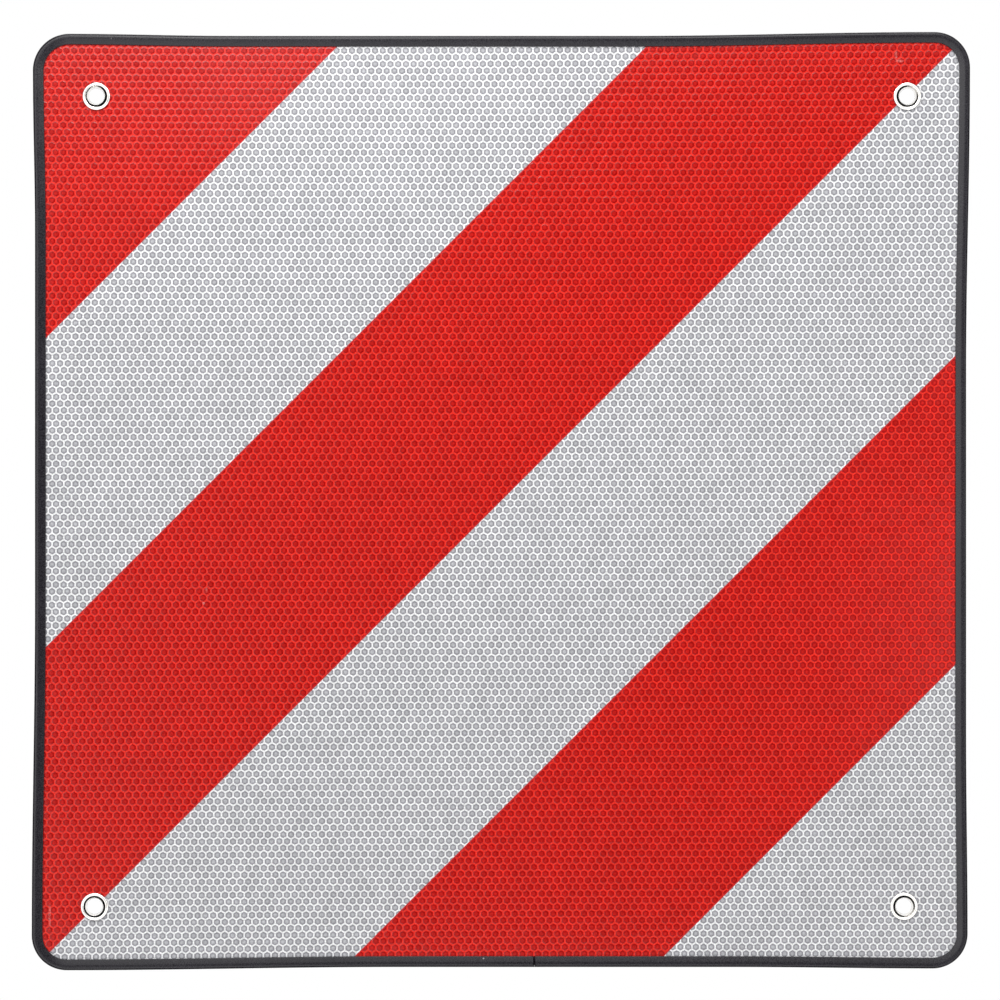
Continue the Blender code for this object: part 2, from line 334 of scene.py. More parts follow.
def field_faces(near, far, has_cut_edge):
    """All faces of the field between two diagonals, cut to its outline and round the eyelets."""
    stripe = stripe_lines(near, far)
    inner = [(x, z, reach - CUT_EDGE_WIDTH) for x, z, reach in stripe]
    outer = [(-x, -z, -reach) for x, z, reach in inner]
    lines = film_outline() + stripe
    found = []
    for regular in cell_middles():
        middle = strayed(*regular)
        if max(beyond(line, middle) for line in lines) > CELL_REACH:
            continue
        faces = cell_faces(regular)
        if has_cut_edge and max(beyond(line, middle) for line in inner) > -CELL_REACH:
            split = [(finish, clipped(polygon, inner)) for finish, polygon in faces]
            split += [(CUT_EDGE, clipped(polygon, [line])) for line in outer for _, polygon in faces]
            faces = split
        if max(beyond(line, middle) for line in lines) > -CELL_REACH:
            faces = [(finish, clipped(polygon, lines)) for finish, polygon in faces if polygon]
        holes = [hole for hole in eyelets.values() if math.dist(hole, middle) < HOLE_RADIUS + CELL_REACH]
        if holes:
            faces = [(finish, clipped(polygon, holes, within)) for finish, polygon in faces if polygon]
        found += [(finish, polygon) for finish, polygon in faces if polygon]
    return found


print("cells in the regular net:", len(list(cell_middles())))

# %% [markdown]
# ## From faces to a closed sheet
#
# The cut faces are welded into one surface. Its open rim is then pulled straight back and closed with
# a flat back, so that the piece is a thin solid sheet. Each corner carries two numbers that the
# finishes read: `cell_rim` is 0 in the middle of a cell and 1 at its edge, and `cell_tint` is one
# random number for each cell.

# %% Field builder
WELD = 0.3137e-6  # an odd size, so that no corner of the net falls between two roundings


def close_behind(bm, back):
    """Pulls the open rim of a surface straight back, and fills it there.

    The filling compares numbers with a fixed margin that suits millimetres and not metres, so the
    sheet is scaled up for it and down again.
    """
    bmesh.ops.scale(bm, vec=Vector((1, 1, 1)) / MM, verts=bm.verts)
    front = set(bm.faces)
    rim = [edge for edge in bm.edges if edge.is_boundary]
    made = bmesh.ops.extrude_edge_only(bm, edges=rim)["geom"]
    for item in made:
        if isinstance(item, bmesh.types.BMVert):
            item.co.y = -back / MM
    ends = [item for item in made if isinstance(item, bmesh.types.BMEdge) and item.is_boundary]
    bmesh.ops.triangle_fill(bm, use_beauty=True, edges=ends, normal=(0, 1, 0))
    for face in set(bm.faces) - front:
        face.material_index = SEAM
    bmesh.ops.recalc_face_normals(bm, faces=bm.faces)
    bmesh.ops.scale(bm, vec=Vector((MM, MM, MM)), verts=bm.verts)


def put_in_scene(name, bm):
    """A finished surface as an object in the scene. An open edge would mean that it has a gap."""
    triangles = sum(len(face.verts) - 2 for face in bm.faces)
    open_edges = sum(not edge.is_manifold for edge in bm.edges)
    print(f"{name}: {triangles} triangles, {open_edges} open edges")
    mesh = bpy.data.meshes.new(name)
    bm.to_mesh(mesh)
    bm.free()
    made = bpy.data.objects.new(name, mesh)
    bpy.context.scene.collection.objects.link(made)
    return made


def build_field(name, near, far, back, seam_front, has_cut_edge):
    """A closed sheet of cells between two diagonals. Its back and its seams lie so far before Y = 0."""
    bm = bmesh.new()
    rim_layer = bm.verts.layers.float.new("cell_rim")
    tint_layer = bm.verts.layers.float.new("cell_tint")
    known = {}
    for finish, polygon in field_faces(near, far, has_cut_edge):
        corners = []
        for x, z, height, rim, tint in polygon:
            key = (round(x / WELD), round(z / WELD))
            if key not in known:
                known[key] = bm.verts.new((x, -seam_front - height, z))
                known[key][rim_layer] = rim
                known[key][tint_layer] = tint
            if known[key] not in corners:
                corners.append(known[key])
        if len(corners) > 2 and not bm.faces.get(corners):
            bm.faces.new(corners).material_index = finish
    close_behind(bm, back)
    return put_in_scene(name, bm)


print("weld:", round(1e6 * WELD, 2), "thousandths of a millimetre")

# %% [markdown]
# ## The finishes of the sheeting
#
# ** Cells.** Glass beads under a clear acrylic film: a cool grey, with painted shade that darkens each
# cell towards its rim, where the film comes down, with a fine sparkle from the beads, which are far too
# small to show and are drawn about ten times as coarse. The acrylic (IOR 1.49) is smooth, which gives
# the clean glare.
#
# **Seams.** The same film bonded to the white backing: plain white, a little duller.
#
# **Red overlay.** Transparent red film over the same cells: dark red over the grey, bright red over
# the white seams, and a dark line where the film was cut.

# %% Sheeting finishes
NOISE_RANGE = (0.3, 0.7)  # nearly all of a noise pattern lies between these two


def spread(tree, value, low, high, start=0.0, end=1.0, bend="LINEAR"):
    """A value between start and end, brought between low and high."""
    inputs = {"Value": value, "From Min": start, "From Max": end, "To Min": low, "To Max": high}
    return add_node(tree, "ShaderNodeMapRange", inputs, interpolation_type=bend).outputs["Result"]


def add_math(tree, operation, *values):
    """One step of arithmetic on numbers."""
    node = add_node(tree, "ShaderNodeMath", dict(enumerate(values)), operation=operation)
    return node.outputs["Value"]


def add_vector_math(tree, operation, *places):
    """One step of arithmetic on places or directions. Some steps give a number."""
    node = add_node(tree, "ShaderNodeVectorMath", dict(enumerate(places)), operation=operation)
    return node.outputs["Value" if operation in ("LENGTH", "DISTANCE", "DOT_PRODUCT") else "Vector"]


def noise(tree, place, size, detail):
    """A random pattern of patches about as wide as the size."""
    inputs = {"Vector": place, "Scale": 1 / size, "Detail": detail}
    return add_node(tree, "ShaderNodeTexNoise", inputs).outputs["Fac"]


def blended(tree, share, first, second):
    """Between two colours, by a share from 0 to 1. A mix node has its colours at sockets 6, 7 and 2."""
    return add_node(tree, "ShaderNodeMix", {0: share, 6: first, 7: second}, data_type="RGBA").outputs[2]


ACRYLIC_IOR = 1.49
BEAD_SIZE = 0.8 * MM
CLOUD_SIZE = 45 * MM  # slow changes of tone across a roll of sheeting
RIM_SHADE_FADE = (0.30, 0.80)  # where the painted shade towards a cell's rim starts, and where it is darkest
CELL_TONES = (0.92, 1.08)  # of the darkest and the lightest cell
BEAD_TONES = (0.82, 1.18)
CLOUD_TONES = (0.96, 1.04)
BEADS_SMOOTHER, BEADS_ROUGHER = 0.04, 0.06
SCUFF_COLOUR = "#f0b0aa"
SCUFF_FADE = (0.5, 1.1)  # in half widths from a scuff's middle
SCUFF_GRAIN = (0.4, 0.6)  # the beads' tones that break it up
SCUFF_LEAST = 0.2  # what is left of it where it is broken
SCUFFS = [  # x, z, half width and half height in mm, and strength
    (-243.2, -223.5, 0.8, 7.5, 0.30),
    (213.4, 240.6, 0.7, 3.2, 0.35),
    (215.2, 237.5, 2.4, 0.8, 0.45),
    (-160.2, -54.9, 0.8, 0.8, 0.55),
    (-158.6, -47.6, 0.7, 1.8, 0.25),
]


def scuffed(tree, place, grain, colour):
    """A colour with the film's few pale scuffs on it, each an oval broken up by the grain."""
    breaks = spread(tree, grain, SCUFF_LEAST, 1, *SCUFF_GRAIN)
    for x, z, half_width, half_height, strength in SCUFFS:
        away = add_vector_math(tree, "SUBTRACT", place, Vector((x * MM, 0, z * MM)))
        stretch = Vector((1 / half_width, 0, 1 / half_height)) / MM
        reach = add_vector_math(tree, "LENGTH", add_vector_math(tree, "MULTIPLY", away, stretch))
        broken = add_math(tree, "MULTIPLY", spread(tree, reach, strength, 0, *SCUFF_FADE), breaks)
        colour = blended(tree, broken, colour, paint(SCUFF_COLOUR))
    return colour


def sheeting_finish(name, middle_colour, rim_shade_colour, roughness, is_scuffed=False):
    """Clear film over beads or backing, with painted shade: the colour darkens to the rim colour at a
    cell's rim.
    """
    finish, tree, shader, place = new_finish(name)
    rim = add_node(tree, "ShaderNodeAttribute", attribute_name="cell_rim").outputs["Fac"]
    tint = add_node(tree, "ShaderNodeAttribute", attribute_name="cell_tint").outputs["Fac"]
    beads = noise(tree, place, BEAD_SIZE, 1.0)
    clouds = spread(tree, noise(tree, place, CLOUD_SIZE, 2.0), *CLOUD_TONES)
    # painted shade: the colour goes from the middle colour to the darker rim colour towards each cell's
    # rim
    rim_shade_share = spread(tree, rim, 0, 1, *RIM_SHADE_FADE)
    ground = blended(tree, rim_shade_share, paint(middle_colour), paint(rim_shade_colour))
    sparkle = spread(tree, beads, *BEAD_TONES, *NOISE_RANGE)
    tone = add_math(tree, "MULTIPLY", spread(tree, tint, *CELL_TONES), sparkle)
    toned = {"Color": ground, "Value": add_math(tree, "MULTIPLY", tone, clouds)}
    colour = add_node(tree, "ShaderNodeHueSaturation", toned).outputs["Color"]
    if is_scuffed:
        colour = scuffed(tree, place, beads, colour)
    gloss = spread(tree, beads, roughness - BEADS_SMOOTHER, roughness + BEADS_ROUGHER)
    feed(tree, shader, {"Base Color": colour, "Roughness": gloss, "IOR": ACRYLIC_IOR})
    return finish


white_finishes = [
    sheeting_finish("glass_bead_cell_white", "#c8c8cd", "#8e8e94", 0.15),
    sheeting_finish("bonded_seam_white", "#fafafc", "#fafafc", 0.24),
    sheeting_finish("cut_film_edge_white", "#d8d8de", "#d8d8de", 0.30),
]
red_finishes = [
    sheeting_finish("glass_bead_cell_red", "#cd201b", "#a80004", 0.15, True),
    sheeting_finish("bonded_seam_red", "#f13126", "#ee291b", 0.24, True),
    sheeting_finish("cut_overlay_edge_red", "#cc0009", "#cc0009", 0.30),
]
print("sheeting finishes:", [finish.name for finish in white_finishes + red_finishes])

# %% [markdown]
# ## Laying the sheeting
#
# The measured model has the white sheeting as one thin plate that runs under the red, and it stays in
# place as the sheeting's body. The white fields lie on it as its embossed face. The red fields stand
# for the measured overlay pieces, and lie a little higher, as a film stuck on top.

# %% The six fields
SHEETING_FRONT = 1.505 * MM
OVERLAY_BACK = 1.6 * MM
WHITE_SEAM = 1.53 * MM
RED_SEAM = 1.625 * MM
CORNER_STRIPES = PANEL_SIDE / 2 * math.sqrt(2) / STRIPE  # from the middle to a corner of the panel

fields = {  # where each starts and ends, in stripes from the middle, and the overlay it stands for
    "white_upper_cells": (-2, -1, None),
    "white_lower_cells": (0, 1, None),
    "white_corner_cells": (2, CORNER_STRIPES, None),
    "red_corner_cells": (-CORNER_STRIPES, -2, "red_corner"),
    "red_centre_cells": (-1, 0, "red_centre_band"),
    "red_lower_cells": (1, 2, "red_lower_band"),
}
for name, (near, far, overlay) in fields.items():
    back, seam_front = (OVERLAY_BACK, RED_SEAM) if overlay else (SHEETING_FRONT, WHITE_SEAM)
    field = build_field(name, near, far, back, seam_front, bool(overlay))
    for finish in red_finishes if overlay else white_finishes:
        field.data.materials.append(finish)
    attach(field, "root")
    if overlay:
        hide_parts(overlay)

# %% [markdown]
# ## The black edge trim
#
# The trim is one length of stiff PVC extrusion, pushed onto the panel's edge and butted at the bottom.
# We sweep its U-shaped section round the panel: list the places along the way, turn the section
# square to the path at each one, and join the rings. Being stiff, the trim stands off a little at the
# corners, by its own amount at each, and comes back to the edge along the sides.
#
# The corners and the rounded back get many more steps here than in the measured model, so that the
# highlight runs round them without a facet.

# %% The trim's section
STACK_MIDDLE = 0.85 * MM  # halfway through panel and films, measured forwards from the rear face
TRIM_SLOT = 1.15 * MM  # from the stack's middle to a leg, at its lip
TRIM_ROOT = 1.35 * MM  # and at the slot's floor
TRIM_GAP = 0.3 * MM  # from the panel's edge to the slot's floor
TRIM_COVER = 4.8 * MM  # how far the legs reach in over the panel
TRIM_REACH = 1.1 * MM  # how far the back stands out beyond the panel's edge
TRIM_LIP = 0.8 * MM
TRIM_LEG = 1.4 * MM
TRIM_FLAT = 1.2 * MM
TRIM_ROUNDING = 1.6 * MM
ROUND_STEPS = 10
GUARDS = (0.1, 0.9)  # extra corners near both ends of a flat, so that it is shaded as a flat


def arc(centre, radii, start_deg, end_deg, steps):
    """Points on an ellipse's arc, both ends included."""
    points = []
    for step in range(steps + 1):
        angle = math.radians(start_deg + (end_deg - start_deg) * step / steps)
        points.append((centre[0] + radii[0] * math.cos(angle), centre[1] + radii[1] * math.sin(angle)))
    return points


def trim_section():
    """The closed U-section: outwards from the panel's edge, and forwards from the stack's middle."""
    nose = TRIM_LIP / 2
    crown = TRIM_SLOT + TRIM_LEG
    front = arc((nose - TRIM_COVER, TRIM_SLOT + nose), (nose, nose), 270, 90, ROUND_STEPS)
    lip, ridge = front[-1], (TRIM_REACH - TRIM_ROUNDING - TRIM_FLAT, crown)
    flat_end = (TRIM_REACH - TRIM_ROUNDING, crown)
    for start, end in ((lip, ridge), (ridge, flat_end)):
        for share in GUARDS:
            front.append(tuple(a + (b - a) * share for a, b in zip(start, end)))
    rounding = (TRIM_ROUNDING, TRIM_ROUNDING)
    front += arc((TRIM_REACH - TRIM_ROUNDING, crown - TRIM_ROUNDING), rounding, 90, 0, ROUND_STEPS)
    rear = [(across, -forwards) for across, forwards in reversed(front)]
    return front + rear + [(TRIM_GAP, -TRIM_ROOT), (TRIM_GAP, TRIM_ROOT)]


print("corners in the section:", len(trim_section()))

# %% The trim's path
CORNER_RADIUS = 16 * MM
CORNER_STEPS = 28
SIDE_STEPS = 30
TRIM_JOINT_X = 18 * MM
TRIM_JOINT_GAP = 0.4 * MM
JOINT_CLOSED = 0.06 * MM  # how far the ends, once drawn together, still stand apart
END_ROUNDING = 0.45 * MM
END_DEPTH = 1.2 * MM  # how deep the rounding reaches into the leg
END_LEAN = -0.06  # how much the cut leans, as sideways over outwards
CORNER_SIGNS = [(-1, -1), (1, -1), (1, 1), (-1, 1)]  # from the bottom left, anticlockwise
TRIM_LIFT = [1.75 * MM, 0.8 * MM, 2.1 * MM, 1.15 * MM]
TRIM_LIFT_REACH = [180 * MM, 110 * MM, 165 * MM, 90 * MM]
TRIM_BEND_EASE = [0.0, 1.0 * MM, 0.0, 1.6 * MM]  # how much wider it bends than the panel's corner


def bend_start(corner):
    """Where the trim starts to bend, as a distance along a side from its middle."""
    return PANEL_SIDE / 2 - CORNER_RADIUS - TRIM_BEND_EASE[corner]


def lift_beside(corner, distance):
    """How far the trim stands off the edge, at a distance along a side from a corner."""
    share = min(distance / TRIM_LIFT_REACH[corner], 1)
    return TRIM_LIFT[corner] * (1 + math.cos(math.pi * share)) / 2


def side_path(quarter, first, last):
    """Places beside one side, as (x, z)."""
    run = PANEL_SIDE / 2 - CORNER_RADIUS
    turn = quarter * math.pi / 2
    along_side = Vector((math.cos(turn), math.sin(turn)))
    outwards = Vector((math.sin(turn), -math.cos(turn)))
    places = []
    for step in range(SIDE_STEPS + 1):
        along = first + (last - first) * step / SIDE_STEPS
        lift = lift_beside(quarter % 4, along + run) + lift_beside((quarter + 1) % 4, run - along)
        places.append(outwards * (PANEL_SIDE / 2 + lift) + along_side * along)
    return places


def corner_path(quarter):
    """Places round the corner at the end of a side, as (x, z)."""
    corner = (quarter + 1) % 4
    radius = CORNER_RADIUS + TRIM_LIFT[corner] + TRIM_BEND_EASE[corner]
    centre = [sign * bend_start(corner) for sign in CORNER_SIGNS[corner]]
    start = 90 * quarter - 90
    places = arc(centre, (radius, radius), start, start + 90, CORNER_STEPS)
    return [Vector(place) for place in places[1:-1]]


path_end = TRIM_JOINT_GAP / 2 + END_ROUNDING
trim_path = side_path(0, TRIM_JOINT_X + path_end, bend_start(1)) + corner_path(0)
for quarter in (1, 2, 3):
    trim_path += side_path(quarter, -bend_start(quarter), bend_start((quarter + 1) % 4))
    trim_path += corner_path(quarter)
trim_path += side_path(0, -bend_start(0), TRIM_JOINT_X - path_end)
print("places round the panel:", len(trim_path))

# %% Sweep the section round the path
LEAST_MITRE = 0.5  # a section is never stretched to more than twice its width
TRIM_CREASE = 32  # degrees: a sharper edge is shaded as an edge


def outward_at(path, n):
    """The direction square to the path, away from the panel, and longer where a mitre needs it."""
    before = (path[n] - path[n - 1]).normalized() if n else None
    after = (path[n + 1] - path[n]).normalized() if n + 1 < len(path) else before
    before = before or after
    along = (before + after).normalized()
    outward = Vector((along.y, -along.x))
    return outward / max(outward.dot(Vector((before.y, -before.x))), LEAST_MITRE)


def end_ring(bm, section, ring, side):
    """The trim's cut end beyond a ring, rounded over outside. side is -1 or 1 along X."""
    drawn_in = []
    for vert, (across, forwards) in zip(ring, section):
        outside = min(max((abs(forwards) - TRIM_ROOT) / TRIM_LEG, 0), 1)
        towards_slot = math.copysign(outside * END_DEPTH, forwards)
        lean = END_LEAN * (across + TRIM_COVER)
        x = vert.co.x + side * (END_ROUNDING + (TRIM_JOINT_GAP - JOINT_CLOSED) / 2)
        drawn_in.append(bm.verts.new((x, vert.co.y + towards_slot, vert.co.z)))
        vert.co.x -= lean
        drawn_in[-1].co.x -= lean
    return drawn_in


def join_rings(bm, rings):
    """Faces between each ring of corners and the next."""
    for ring, following in zip(rings, rings[1:]):
        for n in range(len(ring)):
            m = (n + 1) % len(ring)
            bm.faces.new((ring[n], ring[m], following[m], following[n]))


def build_trim():
    """The section swept along the path, with both cut ends."""
    section = trim_section()
    bm = bmesh.new()
    rings = []
    for n, place in enumerate(trim_path):
        outward = outward_at(trim_path, n)
        ring = []
        for across, forwards in section:
            spot = place + outward * across
            ring.append(bm.verts.new((spot.x, -STACK_MIDDLE - forwards, spot.y)))
        rings.append(ring)
    rings.insert(0, end_ring(bm, section, rings[0], -1))
    rings.append(end_ring(bm, section, rings[-1], 1))
    join_rings(bm, rings)
    bm.faces.new(rings[0])
    bm.faces.new(rings[-1])
    bmesh.ops.recalc_face_normals(bm, faces=bm.faces)
    return put_in_scene("edge_trim_sweep", bm)


def smooth_under(obj, degrees):
    """Smooth shading, except across edges sharper than an angle."""
    bpy.context.view_layer.objects.active = obj
    for other in bpy.context.selected_objects:
        other.select_set(False)
    obj.select_set(True)
    bpy.ops.object.shade_smooth_by_angle(angle=math.radians(degrees))


trim = build_trim()
smooth_under(trim, TRIM_CREASE)

# %% [markdown]
# ## Black PVC
#
# Extruded PVC with a satin skin. Its own colour is a very dark neutral grey; what shapes it is the
# broad, soft reflection along the sloping leg and the rounded back. A fine grain dulls it unevenly,
# and a few knocks have left pale nicks.

# %% PVC finish
PVC_IOR = 1.53
GRAIN_SIZE = 0.7 * MM
RUBBED_SIZE = 22 * MM
NICKS = [(-209.8, 249.6), (-246.4, -205.0), (-9.2, -246.4), (244.6, -22.8)]  # x and z in mm
NICK_Y = -3 * MM  # near the front of the trim
NICK_SIZE = 0.55 * MM
NICK_FADE = 1.5  # it is gone at so many times its size


def bumped(tree, height, strength, depth):
    """The way a surface faces once a pattern roughens it. Its shape stays as it is."""
    inputs = {"Height": height, "Strength": strength, "Distance": depth}
    return add_node(tree, "ShaderNodeBump", inputs).outputs["Normal"]


def pvc_finish():
    finish, tree, shader, place = new_finish("extruded_black_pvc")
    grain = noise(tree, place, GRAIN_SIZE, 3.0)
    rubbed = noise(tree, place, RUBBED_SIZE, 4.0)
    colour = blended(tree, spread(tree, grain, 0, 1, 0.3, 0.75), paint("#1a181e"), paint("#27242c"))
    colour = blended(tree, spread(tree, rubbed, 0, 0.4, 0.45, 0.8), colour, paint("#322f38"))
    for x, z in NICKS:
        away = add_vector_math(tree, "DISTANCE", place, Vector((x * MM, NICK_Y, z * MM)))
        ragged = add_math(tree, "MULTIPLY_ADD", grain, NICK_SIZE, away)
        near = spread(tree, ragged, 0.8, 0, NICK_SIZE, NICK_FADE * NICK_SIZE)
        colour = blended(tree, near, colour, paint("#b9b9ba"))
    gloss = spread(tree, grain, 0.20, 0.36, *NOISE_RANGE)
    normal = bumped(tree, grain, 0.25, 0.04 * MM)
    feed(tree, shader, {"Base Color": colour, "Roughness": gloss, "Normal": normal, "IOR": PVC_IOR})
    return finish


trim.data.materials.append(pvc_finish())
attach(trim, "root")
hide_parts("edge_trim")
print("the trim's finish:", trim.data.materials[0].name)

# %% [markdown]
# ## Eyelets and washers
#
# Each eyelet is a brass tube with a rolled flange, nickel-plated, pushed through the panel and curled
# over a washer at the back. Both are turned shapes: draw half of the outline once, then spin it about
# the hole's axis. The profile has many steps, because a mirror-like surface shows every facet.
#
# The flange is a low dome, whose gentle slopes mirror the bright studio. Inside it the metal turns down
# in a steeper cone, and that mirrors the dark low down beside the sign: the black ring of the mouth.
# No eyelet is set quite true: its barrel lies a little off the flange's middle, and so the black ring
# is wide on one side and narrow on the other.

# %% The outlines
PROFILE_STEPS = 12
SEAT = 2.0 * MM  # where the flange's rim sits, measured forwards from the panel's rear face
WALL = 0.35 * MM
FLANGE_RADIUS = 7.4 * MM
CROWN_RADIUS = 6.45 * MM
CROWN = 3.19 * MM  # where the two faces of the flange would meet, in the middle of the wall
DOME_DROP = 0.267 * MM  # from the crown down to the flange's rim
MOUTH_START = (6.0 * MM, 0.155 * MM)  # radius, and depth below the crown
MOUTH_END = (5.0 * MM, 1.0 * MM)
THROAT_RADIUS = 4.1 * MM
CURL_RADIUS = 0.5 * MM
CURL_HEIGHT = -1.0 * MM
RIM_ROUNDING, CROWN_ROUNDING = 0.1 * MM, 0.3 * MM
MOUTH_ROUNDING, THROAT_ROUNDING = 0.25 * MM, 0.2 * MM
WASHER_FRONT = -0.3 * MM
WASHER_REAR = -0.7 * MM
WASHER_RADIUS = 7.5 * MM
WASHER_CHAMFER = 0.3 * MM
WASHER_BORE = 5.05 * MM


def rounded(corners):
    """A line through corners of (radius, forwards, rounding), with each corner rounded off."""
    line = [Vector(corners[0][:2])]
    for before, here, after in zip(corners, corners[1:], corners[2:]):
        spot = Vector(here[:2])
        back, on = (Vector(before[:2]) - spot).normalized(), (Vector(after[:2]) - spot).normalized()
        half = back.angle(on) / 2
        middle = spot + (back + on).normalized() * here[2] / math.sin(half)
        first = (spot + back * here[2] / math.tan(half) - middle).normalized()
        last = (spot + on * here[2] / math.tan(half) - middle).normalized()
        for step in range(PROFILE_STEPS + 1):
            line.append(middle + first.slerp(last, step / PROFILE_STEPS) * here[2])
    return line + [Vector(corners[-1][:2])]


def eyelet_midline():
    """The middle of the eyelet's wall, from the flange's rim over its crown and down the barrel."""
    half = WALL / 2
    curl_middle = THROAT_RADIUS + half + CURL_RADIUS
    corners = [
        (FLANGE_RADIUS - half, SEAT, 0),
        (FLANGE_RADIUS - half, CROWN - DOME_DROP, RIM_ROUNDING),
        (CROWN_RADIUS, CROWN, CROWN_ROUNDING),
        (MOUTH_START[0], CROWN - MOUTH_START[1], MOUTH_ROUNDING),
        (MOUTH_END[0], CROWN - MOUTH_END[1], THROAT_ROUNDING),
        (THROAT_RADIUS + half, CURL_HEIGHT, 0),
    ]
    curl = arc((curl_middle, CURL_HEIGHT), (CURL_RADIUS, CURL_RADIUS), 180, 360, PROFILE_STEPS)
    return [tuple(place) for place in rounded(corners)] + curl[1:]


def thickened(line):
    """A closed outline round an open line, half of the wall on each side of it."""
    left, right = [], []
    for n, place in enumerate(line):
        before, after = Vector(line[max(n - 1, 0)]), Vector(line[min(n + 1, len(line) - 1)])
        across = (after - before).normalized().orthogonal() * WALL / 2
        left.append((place[0] + across.x, place[1] + across.y))
        right.append((place[0] - across.x, place[1] - across.y))
    return left + right[::-1]


eyelet_outline = thickened(eyelet_midline())
washer_outline = [
    (WASHER_RADIUS, WASHER_FRONT),
    (WASHER_RADIUS, WASHER_REAR + WASHER_CHAMFER),
    (WASHER_RADIUS - WASHER_CHAMFER, WASHER_REAR),
    (WASHER_BORE, WASHER_REAR),
    (WASHER_BORE, WASHER_FRONT),
]
print("corners in an eyelet's outline:", len(eyelet_outline))

# %% Turned shapes
TURN_STEPS = 96
TURNED_CREASE = 40  # degrees
BARREL_SHIFT = {  # how far the barrel lies off the flange's middle, to the right and up, in mm
    "bottom_left": (-0.17, -0.07),
    "bottom_right": (0.20, -0.20),
    "top_right": (0.20, 0.21),
    "top_left": (-0.28, 0.27),
}


def sunk_share(radius, forwards):
    """How far down the mouth's cone a place lies: 0 at its top and on the flange, 1 in the barrel."""
    depth = CROWN + WALL / 2 - forwards
    share = (depth - MOUTH_START[1]) / (MOUTH_END[1] - MOUTH_START[1])
    return min(max(share, 0), 1) if radius < CROWN_RADIUS else 0


def turned(name, outline, middle, shift=(0, 0)):
    """A closed outline of (radius, forwards) spun about an axis, its barrel shifted by so many mm."""
    bm = bmesh.new()
    rings = []
    for step in range(TURN_STEPS):
        angle = 2 * math.pi * step / TURN_STEPS
        across, up = math.cos(angle), math.sin(angle)
        ring = []
        for radius, forwards in outline:
            sunk = sunk_share(radius, forwards) * MM
            x, z = radius * across + shift[0] * sunk, radius * up + shift[1] * sunk
            ring.append(bm.verts.new((x, -forwards, z)))
        rings.append(ring)
    join_rings(bm, rings + rings[:1])
    bmesh.ops.recalc_face_normals(bm, faces=bm.faces)
    made = put_in_scene(name, bm)
    made.location = (middle[0], 0, middle[1])
    smooth_under(made, TURNED_CREASE)
    return made


print("an eyelet is turned in", TURN_STEPS, "steps")

# %% [markdown]
# ## Nickel plate
#
# Bright nickel is a slightly warm metal with a soft mirror finish. The pressing leaves faint rings
# round the axis, which we get from the distance to that axis, and handling leaves haze.

# %% Nickel finish
RING_SPACING = 0.45 * MM
HAZE_SIZE = 2.5 * MM


def nickel_finish(name, clean_colour, hazy_colour, roughness):
    finish, tree, shader, place = new_finish(name)
    haze = noise(tree, place, HAZE_SIZE, 4.0)
    flat = add_vector_math(tree, "MULTIPLY", place, Vector((1, 0, 1)))
    inputs = {"W": add_vector_math(tree, "LENGTH", flat), "Scale": 1 / RING_SPACING, "Detail": 1.0}
    rings = add_node(tree, "ShaderNodeTexNoise", inputs, noise_dimensions="1D").outputs["Fac"]
    hazy = spread(tree, haze, 0, 1, 0.35, 0.75)
    colour = blended(tree, hazy, paint(clean_colour), paint(hazy_colour))
    ringed = spread(tree, rings, 0.85 * roughness, 1.2 * roughness)
    dulled = add_math(tree, "MULTIPLY", spread(tree, haze, 0.8, 1.3), ringed)
    normal = bumped(tree, rings, 0.15, 0.01 * MM)
    feed(tree, shader, {"Base Color": colour, "Roughness": dulled, "Normal": normal, "Metallic": 1.0})
    return finish


eyelet_nickel = nickel_finish("bright_nickel_plate", "#f6f4f1", "#e8e5df", 0.11)
washer_nickel = nickel_finish("dull_nickel_washer", "#c9c6c0", "#b3afa6", 0.26)
for corner, middle in eyelets.items():
    for kind, outline, finish, slot, shift in (
        ("eyelet", eyelet_outline, eyelet_nickel, "nickel_plate", BARREL_SHIFT[corner]),
        ("washer", washer_outline, washer_nickel, "nickel_washer", (0, 0)),
    ):
        piece = turned(f"{kind}_turned_{corner}", outline, middle, shift)
        piece.data.materials.append(finish)
        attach(piece, "root")
        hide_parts(f"{kind}_{corner}")
print("eyelets and washers:", 2 * len(eyelets))

# %% [markdown]
# ## The bare back
#
# The back of the panel is rolled aluminium, left as it came from the mill. Rolling draws the surface
# out into fine streaks along one direction, which show as thin changes of gloss. We stretch a noise
# pattern along the streaks; they are a few hundredths of a millimetre wide and are drawn wider.

# %% Aluminium finish
STREAK_WIDTH = 0.9 * MM
STREAK_LENGTH = 140 * MM
SMUDGE_SIZE = 60 * MM


def aluminium_finish():
    finish, tree, shader, place = new_finish("mill_finish_rolled_aluminium")
    scale = Vector((1 / STREAK_WIDTH, 1 / STREAK_WIDTH, 1 / STREAK_LENGTH))
    drawn = add_vector_math(tree, "MULTIPLY", place, scale)
    inputs = {"Vector": drawn, "Scale": 1.0, "Detail": 5.0, "Roughness": 0.65}
    streaks = add_node(tree, "ShaderNodeTexNoise", inputs).outputs["Fac"]
    streaked = spread(tree, streaks, 0, 1, *NOISE_RANGE)
    smudged = spread(tree, noise(tree, place, SMUDGE_SIZE, 4.0), 0, 0.5, 0.45, 0.75)
    colour = blended(tree, streaked, paint("#b4b6b9"), paint("#cdced0"))
    colour = blended(tree, smudged, colour, paint("#b0b1b2"))
    gloss = spread(tree, streaks, 0.28, 0.46, *NOISE_RANGE)
    normal = bumped(tree, streaks, 0.2, 0.02 * MM)
    feed(tree, shader, {"Base Color": colour, "Roughness": gloss, "Normal": normal, "Metallic": 1.0})
    return finish


def dress(node, finish):
    """Gives a piece of the measured model a finish, in every material slot that it has."""
    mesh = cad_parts[node].data
    if not mesh.materials:
        mesh.materials.append(finish)
    for n in range(len(mesh.materials)):
        mesh.materials[n] = finish


dress("panel", aluminium_finish())
dress("honeycomb_sheeting", sheeting_finish("acrylic_sheeting_body", "#e4e4e8", "#e4e4e8", 0.30))
print("dressed: panel and honeycomb_sheeting")

